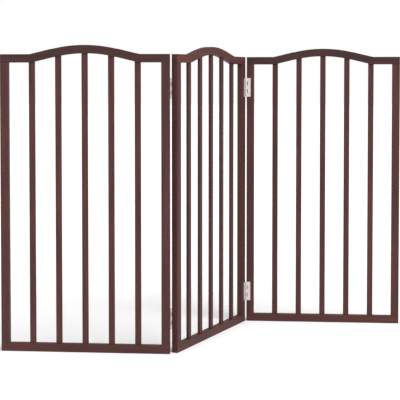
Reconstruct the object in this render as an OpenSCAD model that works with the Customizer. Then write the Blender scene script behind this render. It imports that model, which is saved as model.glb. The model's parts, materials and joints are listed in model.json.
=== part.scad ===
// Free-standing pet gate that folds in three panels.
// Each panel is a timber frame of two rails, two stiles and five slats.
// The wings hang on the centre panel by two butt hinges each: the left pair
// is on the back faces and the right pair on the front faces, so the gate
// folds into a Z. The row frame stands at the foot of the centre panel's
// middle: +X runs along the two wings, +Y to the back and +Z up.

/* [Panel] */
// Width of one panel
panel_w = 450; // [400:5:520]
// Height of the flat shoulders of the top rail
shoulder_h = 788; // [500:4:900]
// Thickness of rails and stiles, front to back
frame_t = 17; // [15:0.5:24]
// Width of a stile, seen from the front
stile_w = 22; // [18:1:34]
// Height of the bottom rail and depth of the arched top rail
rail_h = 22; // [20:1:34]

/* [Arch] */
// Rise of the crown over the shoulders
arch_rise = 24; // [16:1:30]
// Radius of the crown's top edge
crown_r = 365; // [300:5:420]
// Slope between shoulder and crown, in degrees
slope_deg = 13.5; // [12:0.5:15]
// Radius where the slope leaves the shoulder
kink_r = 30; // [10:5:40]

/* [Slats] */
// Slats in one panel
slat_count = 5; // [3:1:7]
// Width of a slat
slat_w = 16; // [12:1:24]
// Thickness of a slat
slat_t = 7.5; // [6:0.5:9]
// Depth of the mortises that hold the slats
mortise_d = 9; // [6:1:12]

/* [Corner dowels] */
// Diameter of a dowel
dowel_d = 6; // [5:1:8]
// Depth of a dowel in the rail
dowel_in_rail = 12; // [8:1:14]
// Depth of a dowel in the stile
dowel_in_stile = 20; // [14:1:30]

/* [Hinges] */
// Height of a hinge
hinge_h = 55; // [50:1:70]
// Width of a leaf, from the pin's axis to its free edge
leaf_w = 13; // [12.5:0.5:16]
// Thickness of a leaf
leaf_t = 1; // [1:0.05:1.1]
// Diameter of the barrel
barrel_d = 4.4; // [4.2:0.1:4.4]
// Diameter of the pin
pin_d = 2.4; // [2.2:0.1:2.6]
// Height of the pin's axis over the face that the leaf lies on
pin_stand = 2.3; // [2.3:0.1:3]
// Gap between two panels that are folded out flat
panel_gap = 2; // [1.5:0.1:4]
// Distance from a hinge's middle to the foot or to the shoulder
hinge_inset = 90; // [75:5:140]

/* [Screws] */
// Diameter of a screw's head
screw_head_d = 5; // [4.6:0.1:5]
// Diameter of a screw's shank
screw_shank_d = 3; // [3:0.1:3.2]
// Length of a screw
screw_len = 12; // [9:0.5:13]
// Spread of a leaf's two screws
screw_spread = 36; // [28:1:42]

/* [Pose] */
// Angle of the centre panel to each wing, where 0 is folded out flat
fold_deg = 69.2; // [20:0.2:160]

/* [Hidden] */
$fn = 48;
wood = [0.35, 0.25, 0.23];
wood_light = [0.38, 0.29, 0.27];
bare_wood = [0.80, 0.66, 0.47];
hinge_metal = [0.84, 0.80, 0.81];
screw_metal = [0.78, 0.77, 0.76];

half_w = panel_w / 2;
top_h = shoulder_h + arch_rise;
crown_z = top_h - crown_r;
slope_x = crown_r * sin(slope_deg);
slope_z = crown_z + crown_r * cos(slope_deg);
kink_x = slope_x + (slope_z - shoulder_h) / tan(slope_deg);
under_kink_x = kink_x + rail_h * tan(slope_deg / 2);
crown_steps = 16;
kink_steps = 4;

slat_gap = (panel_w - 2 * stile_w - slat_count * slat_w) / (slat_count + 1);
slat_pitch = slat_gap + slat_w;
glue_gap = 0.05;

barrel_r = barrel_d / 2;
pin_r = pin_d / 2;
pin_gap = 0.05;
knuckles = 5;
knuckle_gap = 0.3;
knuckle_len = (hinge_h - (knuckles - 1) * knuckle_gap) / knuckles;
knuckle_pitch = knuckle_len + knuckle_gap;
notch_clear = 2;
notch_x = barrel_r + notch_clear;
screw_x = (notch_x + leaf_w) / 2;
screw_gap = 0.02;
head_r = screw_head_d / 2;
shank_r = screw_shank_d / 2;
tip_len = 3.5;
tip_r = 0.25;
drive_w = 0.6;
drive_reach = 1.4;
drive_depth = 0.7;
cut = 0.5;

// Pin axis of a joint, seen from the middle of a panel beside it
pin_x = half_w + panel_gap / 2;
pin_y = frame_t / 2 + pin_stand;
// Right pin axis in the row frame; the left one is its opposite
right_pin = [
    pin_x * cos(fold_deg) + pin_y * sin(fold_deg),
    pin_x * sin(fold_deg) - pin_y * cos(fold_deg)
];
right_wing_at = right_pin + [pin_x, pin_y];

PANELS = ["left", "centre", "right"];
WINGS = ["left", "right"];
LEVELS = ["upper", "lower"];
SLATS = [1:slat_count];

// ---- Outline of the arched top rail ----

// Points of an arc, from angle a0 to angle a1
function arc(centre, r, a0, a1, steps) = [
    for (i = [0:steps])
        let (a = a0 + (a1 - a0) * i / steps)
        centre + r * [cos(a), sin(a)]
];

// Right half of an edge that lies a depth d below the top edge
function edge_right(d) =
    let (
        kx = kink_x + d * tan(slope_deg / 2),
        r = kink_r + d,
        cx = kx + r * tan(slope_deg / 2),
        cz = shoulder_h - d + r
    )
    concat(
        arc([0, crown_z], crown_r - d, 90, 90 - slope_deg, crown_steps / 2),
        arc([cx, cz], r, 270 - slope_deg, 270, kink_steps),
        [[half_w, shoulder_h - d]]
    );

function backwards(points) = [for (i = [len(points) - 1:-1:0]) points[i]];

// The whole edge, from the left end to the right
function edge(d) =
    let (right = edge_right(d), left = [for (p = right) if (p[0] > 0) [-p[0], p[1]]])
    concat(backwards(left), right);

// Height of the top rail's underside over a point of the panel
function underside(x) =
    let (a = abs(x), r = crown_r - rail_h)
    a < r * sin(slope_deg) ? crown_z + sqrt(r * r - a * a)
    : a < under_kink_x
        ? shoulder_h - rail_h + (under_kink_x - a) * tan(slope_deg)
    : shoulder_h - rail_h;

function slat_x(i) = (i - (slat_count + 1) / 2) * slat_pitch;
function slat_bottom() = rail_h - mortise_d;
function slat_top(i) = underside(slat_x(i)) + mortise_d;

// ---- Places ----

// Stands its children, drawn about a panel's middle, where that panel is
module at_panel(panel) {
    if (panel == "centre") rotate([0, 0, fold_deg]) children();
    if (panel == "right")
        translate([right_wing_at[0], right_wing_at[1], 0]) children();
    if (panel == "left")
        translate([-right_wing_at[0], -right_wing_at[1], 0]) children();
}

function level_z(level) = level == "lower" ? hinge_inset : shoulder_h - hinge_inset;

// Puts children drawn about a pin axis, with their leaf to +X and the wood
// under it to -Y, on one edge and one face of a panel
module at_edge(side, face) {
    translate([side * pin_x, face * pin_y, 0])
        rotate([face > 0 ? 0 : 180, 0, 0])
            rotate([0, side > 0 ? 180 : 0, 0])
                children();
}

// Same for the hinge of a joint, on the wing or on the centre panel
module at_hinge(wing, level, on_wing) {
    side = (wing == "left") == on_wing ? 1 : -1;
    face = wing == "left" ? 1 : -1;
    at_panel(on_wing ? wing : "centre")
        translate([0, 0, level_z(level)]) at_edge(side, face) children();
}

module each_corner() {
    for (side = [-1, 1]) {
        translate([side * (half_w - stile_w / 2), 0, rail_h]) children();
        translate([side * (half_w - stile_w / 2), 0, shoulder_h - rail_h])
            mirror([0, 0, 1]) children();
    }
}

module each_leaf_screw() {
    for (z = [-1, 1])
        translate([screw_x, leaf_t - pin_stand, z * screw_spread / 2])
            rotate([-90, 0, 0]) children();
}

// ---- Pieces that are cut away ----

module dowel_holes() {
    each_corner()
        translate([0, 0, -dowel_in_rail])
            cylinder(h = dowel_in_rail + dowel_in_stile + glue_gap,
                     d = dowel_d + 2 * glue_gap);
}

module slat_mortises() {
    for (i = SLATS)
        translate([slat_x(i), 0, 0])
            translate([-slat_w / 2 - glue_gap, -slat_t / 2 - glue_gap, slat_bottom()])
                cube([slat_w + 2 * glue_gap, slat_t + 2 * glue_gap,
                      slat_top(i) - slat_bottom()]);
}

// Pilot holes for the screws of both hinges on one edge and face
module pilot_holes(side, face) {
    for (v = LEVELS)
        translate([0, 0, level_z(v)]) at_edge(side, face) each_leaf_screw()
            translate([0, 0, -screw_len])
                cylinder(h = screw_len, r = shank_r + screw_gap);
}

// ---- Timber pieces, drawn about the panel's middle ----

module top_rail() {
    difference() {
        translate([0, frame_t / 2, 0]) rotate([90, 0, 0])
            linear_extrude(height = frame_t)
                polygon(concat(edge(0), backwards(edge(rail_h))));
        slat_mortises();
        dowel_holes();
    }
}

module bottom_rail() {
    difference() {
        translate([-half_w, -frame_t / 2, 0]) cube([panel_w, frame_t, rail_h]);
        slat_mortises();
        dowel_holes();
    }
}

// Stile on the side -1 or +1, with pilots on the face -1 or +1, or none at 0
module stile(side, face) {
    difference() {
        translate([side * (half_w - stile_w / 2) - stile_w / 2, -frame_t / 2, rail_h])
            cube([stile_w, frame_t, shoulder_h - 2 * rail_h]);
        dowel_holes();
        if (face != 0) pilot_holes(side, face);
    }
}

module slat(i) {
    translate([slat_x(i) - slat_w / 2, -slat_t / 2, slat_bottom()])
        cube([slat_w, slat_t, slat_top(i) - slat_bottom()]);
}

module dowels() {
    each_corner()
        translate([0, 0, -dowel_in_rail])
            cylinder(h = dowel_in_rail + dowel_in_stile, d = dowel_d);
}

// ---- Hinge pieces, drawn about the pin's axis ----

function knuckle_z(k) = (k - 1) * knuckle_pitch - hinge_h / 2;

// A leaf with the knuckles listed in own, and notches for the others
module leaf(own) {
    others = [for (k = [1:knuckles]) if (len(search(k, own)) == 0) k];
    difference() {
        union() {
            translate([0, -pin_stand, -hinge_h / 2]) cube([leaf_w, leaf_t, hinge_h]);
            for (k = own) translate([0, 0, knuckle_z(k)]) cylinder(h = knuckle_len, r = barrel_r);
        }
        for (k = others)
            translate([-barrel_r, -pin_stand - cut, knuckle_z(k) - knuckle_gap])
                cube([barrel_r + notch_x, 2 * pin_stand + cut, knuckle_len + 2 * knuckle_gap]);
        translate([0, 0, -hinge_h / 2 - cut])
            cylinder(h = hinge_h + 2 * cut, r = pin_r + pin_gap);
        each_leaf_screw() screw_body(screw_gap);
    }
}

module hinge_pin() {
    translate([0, 0, -hinge_h / 2]) cylinder(h = hinge_h, r = pin_r);
}

// Countersunk head and shank, swollen by grow, with the head's top at z = 0
module screw_body(grow) {
    translate([0, 0, -(head_r - shank_r)])
        cylinder(h = head_r - shank_r, r1 = shank_r + grow, r2 = head_r + grow);
    translate([0, 0, tip_len - screw_len])
        cylinder(h = screw_len - tip_len, r = shank_r + grow);
}

module screw() {
    difference() {
        union() {
            screw_body(0);
            translate([0, 0, -screw_len])
                cylinder(h = tip_len, r1 = tip_r, r2 = shank_r);
        }
        for (a = [0, 90])
            rotate([0, 0, a]) translate([-drive_reach, -drive_w / 2, -drive_depth])
                cube([2 * drive_reach, drive_w, drive_depth + cut]);
    }
}

// ---- Nodes ----

for (p = PANELS) {
    color(wood) at_panel(p) top_rail();
    color(wood) at_panel(p) bottom_rail();
    color(wood) at_panel(p) stile(-1, p == "centre" ? 1 : p == "right" ? -1 : 0);
    color(wood) at_panel(p) stile(1, p == "centre" ? -1 : p == "left" ? 1 : 0);
    for (i = SLATS)
        color(wood_light) at_panel(p) slat(i);
    color(bare_wood) at_panel(p) dowels();
}

for (w = WINGS, v = LEVELS) {
    color(hinge_metal) at_hinge(w, v, true) leaf([1, 3, 5]);
    color(hinge_metal) at_hinge(w, v, false) leaf([2, 4]);
    color(screw_metal) at_hinge(w, v, true) hinge_pin();
    color(screw_metal) at_hinge(w, v, true) each_leaf_screw() screw();
    color(screw_metal) at_hinge(w, v, false) each_leaf_screw() screw();
}
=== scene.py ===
"""Folding pet gate: three arched timber panels with upright slats, hung on butt hinges."""

import json
import logging
import math
from dataclasses import dataclass
from enum import Enum

import bmesh
import bpy
from mathutils import Matrix, Vector


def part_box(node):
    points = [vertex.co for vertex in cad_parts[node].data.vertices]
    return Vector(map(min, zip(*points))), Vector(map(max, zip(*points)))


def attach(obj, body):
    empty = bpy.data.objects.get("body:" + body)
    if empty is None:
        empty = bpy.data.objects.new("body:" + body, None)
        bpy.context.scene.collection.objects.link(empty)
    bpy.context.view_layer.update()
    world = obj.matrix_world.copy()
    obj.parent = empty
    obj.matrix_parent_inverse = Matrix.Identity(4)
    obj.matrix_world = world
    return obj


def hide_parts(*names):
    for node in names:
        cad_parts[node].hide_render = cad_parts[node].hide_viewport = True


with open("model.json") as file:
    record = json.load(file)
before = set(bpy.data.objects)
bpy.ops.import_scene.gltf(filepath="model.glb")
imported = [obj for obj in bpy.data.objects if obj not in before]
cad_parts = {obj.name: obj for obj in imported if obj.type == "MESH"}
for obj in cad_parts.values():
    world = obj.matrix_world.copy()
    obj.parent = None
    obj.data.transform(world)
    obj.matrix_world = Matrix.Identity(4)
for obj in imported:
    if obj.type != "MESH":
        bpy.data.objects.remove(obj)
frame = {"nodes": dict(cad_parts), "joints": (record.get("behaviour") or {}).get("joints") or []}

LOG = logging.getLogger("pet_gate")
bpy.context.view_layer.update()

MM = 0.001
HALF_TURN = math.pi
QUARTER_TURN = math.pi / 2
GRAIN = "grain"
# Attribute with each bar's brightness factor: its own tone, with painted light and shade.
TONE_AND_LIGHT = "tone"
TURN = "turn"


# ---------------------------------------------------------------- choices


class Panel(Enum):
    """The gate's three panels, by the name that their nodes start with."""

    LEFT = "left"
    CENTRE = "centre"
    RIGHT = "right"

    @property
    def body(self) -> str:
        """Name of the rigid body that the panel belongs to."""
        return "centre_panel" if self is Panel.CENTRE else f"{self.value}_wing"


class Level(Enum):
    """Which of a joint's two hinges is meant."""

    UPPER = "upper"
    LOWER = "lower"


class Side(Enum):
    """Left or right end of a panel, as the sign of its X."""

    LEFT = -1
    RIGHT = 1


class Run(Enum):
    """Which way a bar runs in its panel, and its grain with it."""

    LEVEL = 0
    UPRIGHT = 1


# ---------------------------------------------------------------- node trees


class Wire:
    """A number socket that takes part in arithmetic and adds its Math nodes."""

    def __init__(self, kit: "TreeKit", socket: bpy.types.NodeSocket) -> None:
        """Holds a socket.

        Args:
            kit: The tree that the socket is in.
            socket: An output that carries a number.
        """
        self.kit = kit
        self.socket = socket

    def _math(self, operation: str, *operands: object) -> "Wire":
        """Adds one Math node.

        Args:
            operation: The node's operation.
            operands: Numbers, sockets or wires, in order.

        Returns:
            The node's result.
        """
        made = self.kit.node("ShaderNodeMath", {"operation": operation}, dict(enumerate(operands)))
        return Wire(self.kit, made.outputs[0])

    def __add__(self, other: object) -> "Wire":
        """Sum."""
        return self._math("ADD", self, other)

    def __radd__(self, other: object) -> "Wire":
        """Sum with a number on the left."""
        return self._math("ADD", other, self)

    def __sub__(self, other: object) -> "Wire":
        """Difference."""
        return self._math("SUBTRACT", self, other)

    def __rsub__(self, other: object) -> "Wire":
        """Difference from a number on the left."""
        return self._math("SUBTRACT", other, self)

    def __mul__(self, other: object) -> "Wire":
        """Product."""
        return self._math("MULTIPLY", self, other)

    def __rmul__(self, other: object) -> "Wire":
        """Product with a number on the left."""
        return self._math("MULTIPLY", other, self)

    def __truediv__(self, other: object) -> "Wire":
        """Quotient."""
        return self._math("DIVIDE", self, other)

    def __rtruediv__(self, other: object) -> "Wire":
        """Quotient of a number on the left."""
        return self._math("DIVIDE", other, self)

    def __neg__(self) -> "Wire":
        """The negative."""
        return self._math("MULTIPLY", self, -1.0)

    def __lt__(self, other: object) -> "Wire":
        """1 where this is less than the other, or else 0."""
        return self._math("LESS_THAN", self, other)

    def __gt__(self, other: object) -> "Wire":
        """1 where this is more than the other, or else 0."""
        return self._math("GREATER_THAN", self, other)

    def __abs__(self) -> "Wire":
        """Size without sign."""
        return self._math("ABSOLUTE", self)

    def sqrt(self) -> "Wire":
        """Square root, 0 for a negative number."""
        return self._math("SQRT", self)

    def sin(self) -> "Wire":
        """Sine of an angle in radians."""
        return self._math("SINE", self)

    def cos(self) -> "Wire":
        """Cosine of an angle in radians."""
        return self._math("COSINE", self)

    def tan(self) -> "Wire":
        """Tangent of an angle in radians."""
        return self._math("TANGENT", self)

    def rounded(self) -> "Wire":
        """Nearest whole number."""
        return self._math("ROUND", self)

    def ramp(self, low: float, high: float) -> "Wire":
        """Rises smoothly from 0 at low to 1 at high.

        Args:
            low: Where the ramp starts.
            high: Where it ends.

        Returns:
            The ramp's value.
        """
        made = self.kit.node(
            "ShaderNodeMapRange",
            {"interpolation_type": "SMOOTHSTEP"},
            {"Value": self, "From Min": low, "From Max": high},
        )
        return Wire(self.kit, made.outputs["Result"])


class TreeKit:
    """Adds nodes to one tree, and links them."""

    def __init__(self, tree: bpy.types.NodeTree) -> None:
        """Starts on a tree.

        Args:
            tree: The tree that nodes are added to.
        """
        self.tree = tree

    def node(
        self,
        kind: str,
        settings: dict[str, object] | None = None,
        sockets: dict[object, object] | None = None,
    ) -> bpy.types.Node:
        """Adds a node.

        Args:
            kind: The node's type.
            settings: Its properties, which are set before its sockets.
            sockets: Values, sockets, wires or lists of sockets, by the input's name or number.

        Returns:
            The node.
        """
        made = self.tree.nodes.new(kind)
        for name, value in (settings or {}).items():
            setattr(made, name, value)
        for name, value in (sockets or {}).items():
            self.feed(made.inputs[name], value)
        return made

    def feed(self, target: bpy.types.NodeSocket, value: object) -> None:
        """Gives an input its value or its links.

        Args:
            target: The input.
            value: A plain value, a wire, an output, or a list of them.
        """
        for item in value if isinstance(value, list) else [value]:
            if isinstance(item, Wire):
                self.tree.links.new(item.socket, target)
            elif isinstance(item, bpy.types.NodeSocket):
                self.tree.links.new(item, target)
            else:
                target.default_value = item

    def vector(self, x: object, y: object, z: object) -> bpy.types.NodeSocket:
        """Joins three numbers to a vector."""
        return self.node("ShaderNodeCombineXYZ", None, {"X": x, "Y": y, "Z": z}).outputs[0]

    def parts(self, vector: bpy.types.NodeSocket) -> tuple[Wire, Wire, Wire]:
        """Splits a vector into its three numbers."""
        split = self.node("ShaderNodeSeparateXYZ", None, {0: vector})
        return tuple(Wire(self, out) for out in split.outputs)


class ShapeTree(TreeKit):
    """A geometry tree with named inputs, closed by Realize Instances and Set Material."""

    TYPES = {
        int: "NodeSocketInt",
        float: "NodeSocketFloat",
        Vector: "NodeSocketVector",
        bpy.types.Object: "NodeSocketObject",
    }

    def __init__(self, name: str, inputs: dict[str, type]) -> None:
        """Makes an empty tree.

        Args:
            name: What the tree makes.
            inputs: The kind of each named input.
        """
        super().__init__(bpy.data.node_groups.new(name, "GeometryNodeTree"))
        face = self.tree.interface
        face.new_socket(name="Blank", in_out="INPUT", socket_type="NodeSocketGeometry")
        for label, kind in inputs.items():
            face.new_socket(name=label, in_out="INPUT", socket_type=self.TYPES[kind])
        face.new_socket(name="Finish", in_out="INPUT", socket_type="NodeSocketMaterial")
        face.new_socket(name="Piece", in_out="OUTPUT", socket_type="NodeSocketGeometry")
        self.start = self.node("NodeGroupInput")

    def size(self, label: str) -> Wire:
        """The named input as a number."""
        return Wire(self, self.start.outputs[label])

    def given(self, label: str) -> bpy.types.NodeSocket:
        """The named input as a socket."""
        return self.start.outputs[label]

    def place(self) -> tuple[Wire, Wire, Wire]:
        """X, Y and Z of the point at hand."""
        return self.parts(self.node("GeometryNodeInputPosition").outputs[0])

    def section(self, width: object, height: object, radius: object = None) -> bpy.types.NodeSocket:
        """Rectangular section, with round corners if it has a radius.

        Args:
            width: Its size across.
            height: Its size along the other way.
            radius: Radius of its corners.

        Returns:
            The section as a closed curve.
        """
        plain = self.node(
            "GeometryNodeCurvePrimitiveQuadrilateral", None, {"Width": width, "Height": height}
        )
        if radius is None:
            return plain.outputs[0]
        return self.node(
            "GeometryNodeFilletCurve",
            {"mode": "POLY"},
            {"Curve": plain.outputs[0], "Count": CORNER_STEPS, "Radius": radius},
        ).outputs[0]

    def sweep(self, path: bpy.types.NodeSocket, section: bpy.types.NodeSocket) -> bpy.types.NodeSocket:
        """Draws a section along a path, as a closed bar.

        Args:
            path: The path.
            section: The section.

        Returns:
            The bar.
        """
        return self.node(
            "GeometryNodeCurveToMesh",
            None,
            {"Curve": path, "Profile Curve": section, "Fill Caps": True},
        ).outputs[0]

    def line(self, start: object, end: object) -> bpy.types.NodeSocket:
        """Straight path between two points."""
        return self.node("GeometryNodeCurvePrimitiveLine", None, {"Start": start, "End": end}).outputs[0]

    def moved(self, shape: bpy.types.NodeSocket, place: bpy.types.NodeSocket) -> bpy.types.NodeSocket:
        """Puts every point of a shape at its new place."""
        return self.node("GeometryNodeSetPosition", None, {"Geometry": shape, "Position": place}).outputs[0]

    def joined(self, shapes: list[bpy.types.NodeSocket]) -> bpy.types.NodeSocket:
        """Several shapes as one."""
        return self.node("GeometryNodeJoinGeometry", None, {0: shapes}).outputs[0]

    def cut(
        self, solid: bpy.types.NodeSocket, tools: bpy.types.NodeSocket, solver: str = "EXACT"
    ) -> bpy.types.NodeSocket:
        """Takes the tools' volume away from a solid.

        Args:
            solid: The solid.
            tools: Closed cutters.
            solver: Way of cutting: FLOAT where no faces lie in one plane.

        Returns:
            What is left of the solid.
        """
        return self.node(
            "GeometryNodeMeshBoolean",
            {"operation": "DIFFERENCE", "solver": solver},
            {"Mesh 1": solid, "Mesh 2": tools},
        ).outputs[0]

    def realized(self, shape: bpy.types.NodeSocket) -> bpy.types.NodeSocket:
        """Turns instances into real geometry."""
        return self.node("GeometryNodeRealizeInstances", None, {"Geometry": shape}).outputs[0]

    def close(self, shape: bpy.types.NodeSocket) -> "ShapeTree":
        """Ends the tree with real geometry in its finish.

        Args:
            shape: What the tree has made.

        Returns:
            The tree itself.
        """
        dressed = self.node(
            "GeometryNodeSetMaterial",
            None,
            {"Geometry": self.realized(shape), "Material": self.given("Finish")},
        )
        self.node("NodeGroupOutput", None, {"Piece": dressed.outputs[0]})
        return self

    def identifier(self, label: str) -> str:
        """Identifier of a named input, which a modifier goes by.

        Args:
            label: The input's name.

        Returns:
            Its identifier.
        """
        return next(
            item.identifier
            for item in self.tree.interface.items_tree
            if item.name == label and item.in_out == "INPUT"
        )


class Workpiece:
    """A piece on the bench: trees and modifiers shape it, and it comes off as one plain mesh."""

    def __init__(self, name: str, blank: bpy.types.Mesh | None = None) -> None:
        """Lays a blank on the bench.

        Args:
            name: The piece's name.
            blank: A mesh to start from, or none where the first tree makes the whole piece.
        """
        self.name = name
        self.item = bpy.data.objects.new(name, blank or bpy.data.meshes.new(name))
        bpy.context.scene.collection.objects.link(self.item)

    def shape(self, tree: ShapeTree, finish: bpy.types.Material, **values: object) -> "Workpiece":
        """Puts a geometry tree on the piece.

        Args:
            tree: The tree.
            finish: Material of the faces that it makes.
            values: Its inputs, by name with underscores for spaces.

        Returns:
            The piece.
        """
        step = self.item.modifiers.new(tree.tree.name, "NODES")
        step.node_group = tree.tree
        step[tree.identifier("Finish")] = finish
        for label, value in values.items():
            step[tree.identifier(label.replace("_", " "))] = value
        return self

    def ease(self, width: float, segments: int = 2, above: float = 40.0) -> "Workpiece":
        """Eases the sharp edges.

        Args:
            width: Width of the rounding.
            segments: Facets in it.
            above: Least angle of an edge that counts as sharp, in degrees.

        Returns:
            The piece.
        """
        step = self.item.modifiers.new("ease", "BEVEL")
        step.width = width
        step.segments = segments
        step.limit_method = "ANGLE"
        step.angle_limit = math.radians(above)
        return self

    def take_off(self, place: Matrix) -> bpy.types.Object:
        """Turns the piece into a plain mesh at its place in the gate.

        Args:
            place: Where it goes, from the frame it was built in.

        Returns:
            The finished object, at the origin.
        """
        self.item.modifiers.new("even", "WEIGHTED_NORMAL").keep_sharp = True
        depsgraph = bpy.context.evaluated_depsgraph_get()
        mesh = bpy.data.meshes.new_from_object(
            self.item.evaluated_get(depsgraph), preserve_all_data_layers=True, depsgraph=depsgraph
        )
        self.item.modifiers.clear()
        blank = self.item.data
        self.item.data = mesh
        bpy.data.meshes.remove(blank)
        mesh.name = self.name
        mesh.transform(place)
        return self.item


CORNER_STEPS = 4
SMOOTH_BELOW = math.radians(35)
PLATE_SMOOTH_BELOW = math.radians(20)


def shaded(
    tree: ShapeTree, shape: bpy.types.NodeSocket, below: float = SMOOTH_BELOW
) -> bpy.types.NodeSocket:
    """Smooth faces, with sharp edges where faces meet at an angle.

    Args:
        tree: The tree at work.
        shape: The geometry.
        below: Angle under which an edge stays smooth.

    Returns:
        The geometry with its shading set.
    """
    smooth = tree.node(
        "GeometryNodeSetShadeSmooth", {"domain": "FACE"}, {"Geometry": shape, "Shade Smooth": True}
    )
    angle = Wire(tree, tree.node("GeometryNodeInputMeshEdgeAngle").outputs["Unsigned Angle"])
    return tree.node(
        "GeometryNodeSetShadeSmooth",
        {"domain": "EDGE"},
        {"Geometry": smooth.outputs[0], "Selection": angle > below, "Shade Smooth": False},
    ).outputs[0]


# ---------------------------------------------------------------- sizes


@dataclass(frozen=True)
class GateSizes:
    """Sizes of one panel, in metres and radians, about the middle of its foot."""

    half_width: float
    thickness: float
    rail_height: float
    stile_width: float
    shoulder: float
    rise: float
    slat_width: float
    slat_thickness: float
    slat_pitch: float
    slat_count: int
    slat_foot: float
    dowel_radius: float
    dowel_foot: float
    pin_x: float
    pin_y: float
    fold: float
    right_middle: Vector
    crown_radius: float = 365 * MM
    slope: float = math.radians(13.5)
    kink_radius: float = 30 * MM
    edge_radius: float = 0.9 * MM
    slat_edge_radius: float = 0.8 * MM
    dowel_length: float = 32 * MM
    glue_gap: float = 0.05 * MM

    @classmethod
    def from_frame(cls) -> "GateSizes":
        """Reads the sizes off the nodes' boxes and the joints.

        Returns:
            The panel's sizes.
        """
        rail_low, rail_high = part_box("left_bottom_rail")
        stile_low, stile_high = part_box("left_panel_left_stile")
        slat_low, slat_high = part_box("left_slat_1")
        next_low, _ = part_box("left_slat_2")
        dowel_low, dowel_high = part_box("left_corner_dowels")
        _, crown_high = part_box("left_top_rail")
        right_low, right_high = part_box("right_bottom_rail")
        joint = next(j for j in frame["joints"] if j["name"] == "right_fold")
        right_middle = Vector(((right_low[0] + right_high[0]) / 2, (right_low[1] + right_high[1]) / 2, 0))
        rail_height = rail_high[2] - rail_low[2]
        shoulder = stile_high[2] + rail_height
        return cls(
            half_width=(rail_high[0] - rail_low[0]) / 2,
            thickness=rail_high[1] - rail_low[1],
            rail_height=rail_height,
            stile_width=stile_high[0] - stile_low[0],
            shoulder=shoulder,
            rise=crown_high[2] - shoulder,
            slat_width=slat_high[0] - slat_low[0],
            slat_thickness=slat_high[1] - slat_low[1],
            slat_pitch=next_low[0] - slat_low[0],
            slat_count=sum(name.startswith("left_slat_") for name in frame["nodes"]),
            slat_foot=slat_low[2],
            dowel_radius=(dowel_high[1] - dowel_low[1]) / 2,
            dowel_foot=dowel_low[2],
            pin_x=right_middle.x - joint["pos_m"][0],
            pin_y=right_middle.y - joint["pos_m"][1],
            fold=math.radians(joint["range_deg"][1]),
            right_middle=right_middle,
        )

    def place(self, panel: Panel) -> Matrix:
        """Where a panel stands, from its own middle to the gate's frame.

        Args:
            panel: The panel.

        Returns:
            Its place at rest.
        """
        if panel is Panel.CENTRE:
            return Matrix.Rotation(self.fold, 4, "Z")
        return Matrix.Translation(self.right_middle * (1 if panel is Panel.RIGHT else -1))

    @property
    def mortise_depth(self) -> float:
        """How far a slat goes into a rail."""
        return self.rail_height - self.slat_foot

    @property
    def stile_x(self) -> float:
        """Distance of a stile's middle from the panel's middle."""
        return self.half_width - self.stile_width / 2

    def arch_inputs(self) -> dict[str, float]:
        """The arch's sizes, by the names that the trees use.

        Returns:
            A value for each input.
        """
        return {
            "Half_width": self.half_width,
            "Shoulder": self.shoulder,
            "Rise": self.rise,
            "Crown_radius": self.crown_radius,
            "Slope": self.slope,
            "Kink_radius": self.kink_radius,
        }

    def slat_inputs(self) -> dict[str, float]:
        """The slats' sizes, by the names that the trees use.

        Returns:
            A value for each input.
        """
        return {
            "Rail_height": self.rail_height,
            "Slat_pitch": self.slat_pitch,
            "Slat_count": self.slat_count,
            "Slat_width": self.slat_width,
            "Slat_thickness": self.slat_thickness,
            "Mortise_depth": self.mortise_depth,
        }


@dataclass(frozen=True)
class HingeSizes:
    """Sizes of a hinge and its screws, about the pin's axis at the hinge's middle."""

    height: float
    leaf_width: float
    barrel_radius: float
    pin_radius: float
    pin_stand: float
    inset: dict[Level, float]
    head_radius: float
    screw_length: float
    screw_spread: float
    leaf_thickness: float = 1.0 * MM
    pin_gap: float = 0.05 * MM
    knuckles: int = 5
    knuckle_gap: float = 0.3 * MM
    notch_clear: float = 2.0 * MM
    corner_radius: float = 1.6 * MM
    shank_radius: float = 1.5 * MM
    screw_gap: float = 0.02 * MM

    @classmethod
    def from_frame(cls) -> "HingeSizes":
        """Reads the sizes off the left upper hinge.

        Returns:
            The hinge's sizes.
        """
        pin_low, pin_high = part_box("left_upper_hinge_pin")
        leaf_low, leaf_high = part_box("left_upper_hinge_wing_leaf")
        screw_low, screw_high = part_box("left_upper_wing_screws")
        axis = [(low + high) / 2 for low, high in zip(pin_low, pin_high)]
        lower_low, lower_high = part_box("left_lower_hinge_pin")
        return cls(
            height=pin_high[2] - pin_low[2],
            leaf_width=axis[0] - leaf_low[0],
            barrel_radius=leaf_high[1] - axis[1],
            pin_radius=(pin_high[0] - pin_low[0]) / 2,
            pin_stand=axis[1] - leaf_low[1],
            inset={Level.UPPER: axis[2], Level.LOWER: (lower_low[2] + lower_high[2]) / 2},
            head_radius=(screw_high[0] - screw_low[0]) / 2,
            screw_length=screw_high[1] - screw_low[1],
            screw_spread=screw_high[2] - screw_low[2] - (screw_high[0] - screw_low[0]),
        )

    @property
    def knuckle_length(self) -> float:
        """Length of one knuckle."""
        return (self.height - (self.knuckles - 1) * self.knuckle_gap) / self.knuckles

    @property
    def notch_x(self) -> float:
        """How far a notch reaches from the pin's axis."""
        return self.barrel_radius + self.notch_clear

    @property
    def screw_x(self) -> float:
        """Distance of the screws from the pin's axis."""
        return (self.notch_x + self.leaf_width) / 2

    @property
    def leaf_face(self) -> float:
        """Height of the leaf's outer face from the pin's axis."""
        return self.leaf_thickness - self.pin_stand

    def hole_inputs(self) -> dict[str, float]:
        """Sizes of the screw holes, by the names that the tree uses.

        Returns:
            A value for each input.
        """
        return {
            "Leaf_face": self.leaf_face,
            "Leaf_thickness": self.leaf_thickness,
            "Screw_x": self.screw_x,
            "Screw_spread": self.screw_spread,
            "Head_radius": self.head_radius + self.screw_gap,
        }


# ---------------------------------------------------------------- finishes


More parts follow.
